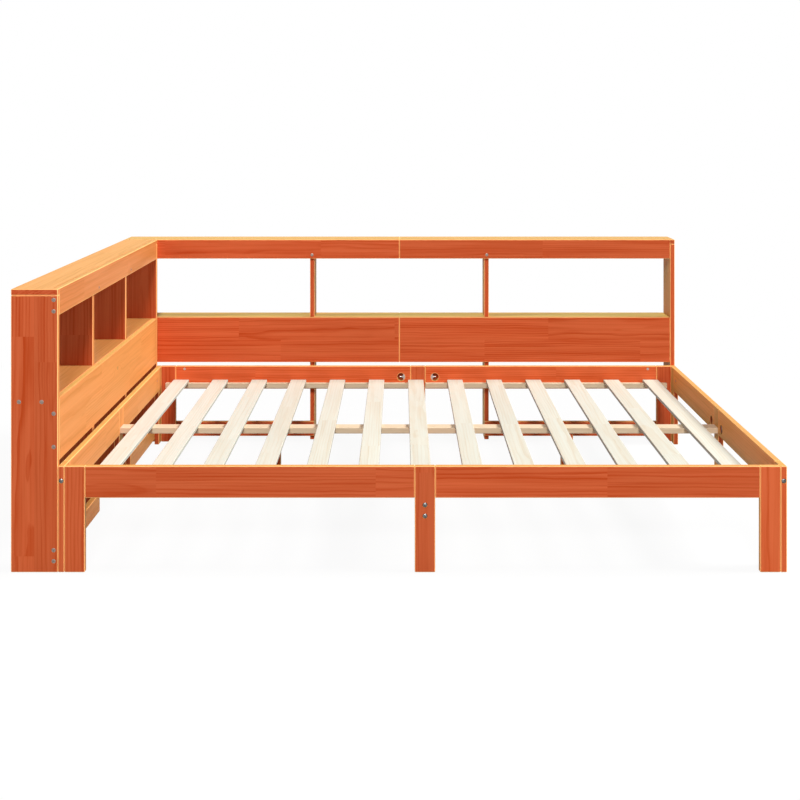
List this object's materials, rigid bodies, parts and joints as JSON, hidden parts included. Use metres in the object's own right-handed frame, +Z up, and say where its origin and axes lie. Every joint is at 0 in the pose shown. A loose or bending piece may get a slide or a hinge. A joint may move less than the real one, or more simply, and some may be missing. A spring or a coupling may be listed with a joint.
{
  "type": "bed with bookcase surround",
  "caption": "Low pine bed frame with a slatted base, and open bookcases along its head end and its rear side, all made of stained boards on straight legs.",
  "frame": {"origin": "middle of the whole outline, on the floor", "axes": "+X along the bed towards the foot, +Y across it towards the rear bookcase, +Z up"},
  "size_m": [2.192, 1.588, 0.8],
  "materials": {
    "stained_pine": "satin",
    "raw_pine": "matte",
    "bolt_steel": "satin",
    "screw_steel": "satin",
    "dowel_wood": "matte"
  },
  "bodies": {
    "root": {"beam_legs": "stained_pine", "case_screws": "screw_steel", "corner_bolts": "bolt_steel", "corner_leg_front_left": "stained_pine", "corner_leg_front_right": "stained_pine", "corner_leg_rear_left": "stained_pine", "corner_leg_rear_right": "stained_pine", "cross_beam": "stained_pine", "dowels": "dowel_wood", "foot_rail_front": "stained_pine", "foot_rail_rear": "stained_pine", "front_rail_left": "stained_pine", "front_rail_right": "stained_pine", "head_apron": "stained_pine", "head_backrest": "stained_pine", "head_divider_front": "stained_pine", "head_divider_rear": "stained_pine", "head_panel_front": "stained_pine", "head_panel_rear": "stained_pine", "head_rail_front": "stained_pine", "head_rail_rear": "stained_pine", "head_shelf": "stained_pine", "head_stretchers": "stained_pine", "head_top": "stained_pine", "middle_beam_left": "raw_pine", "middle_beam_right": "raw_pine", "middle_leg_foot": "stained_pine", "middle_leg_front": "stained_pine", "middle_leg_head": "stained_pine", "middle_leg_rear": "stained_pine", "rear_apron_left": "stained_pine", "rear_apron_right": "stained_pine", "rear_backrest_left": "stained_pine", "rear_backrest_right": "stained_pine", "rear_divider_left": "stained_pine", "rear_divider_right": "stained_pine", "rear_panel_left": "stained_pine", "rear_panel_right": "stained_pine", "rear_rail_left": "stained_pine", "rear_rail_right": "stained_pine", "rear_shelf_left": "stained_pine", "rear_shelf_right": "stained_pine", "rear_stretchers": "stained_pine", "rear_top_left": "stained_pine", "rear_top_right": "stained_pine", "slat_01": "raw_pine", "slat_02": "raw_pine", "slat_03": "raw_pine", "slat_04": "raw_pine", "slat_05": "raw_pine", "slat_06": "raw_pine", "slat_07": "raw_pine", "slat_08": "raw_pine", "slat_09": "raw_pine", "slat_10": "raw_pine", "slat_11": "raw_pine", "slat_12": "raw_pine", "slat_13": "raw_pine", "slat_ledgers": "raw_pine", "tie_rods": "bolt_steel"}
  },
  "joints": []
}
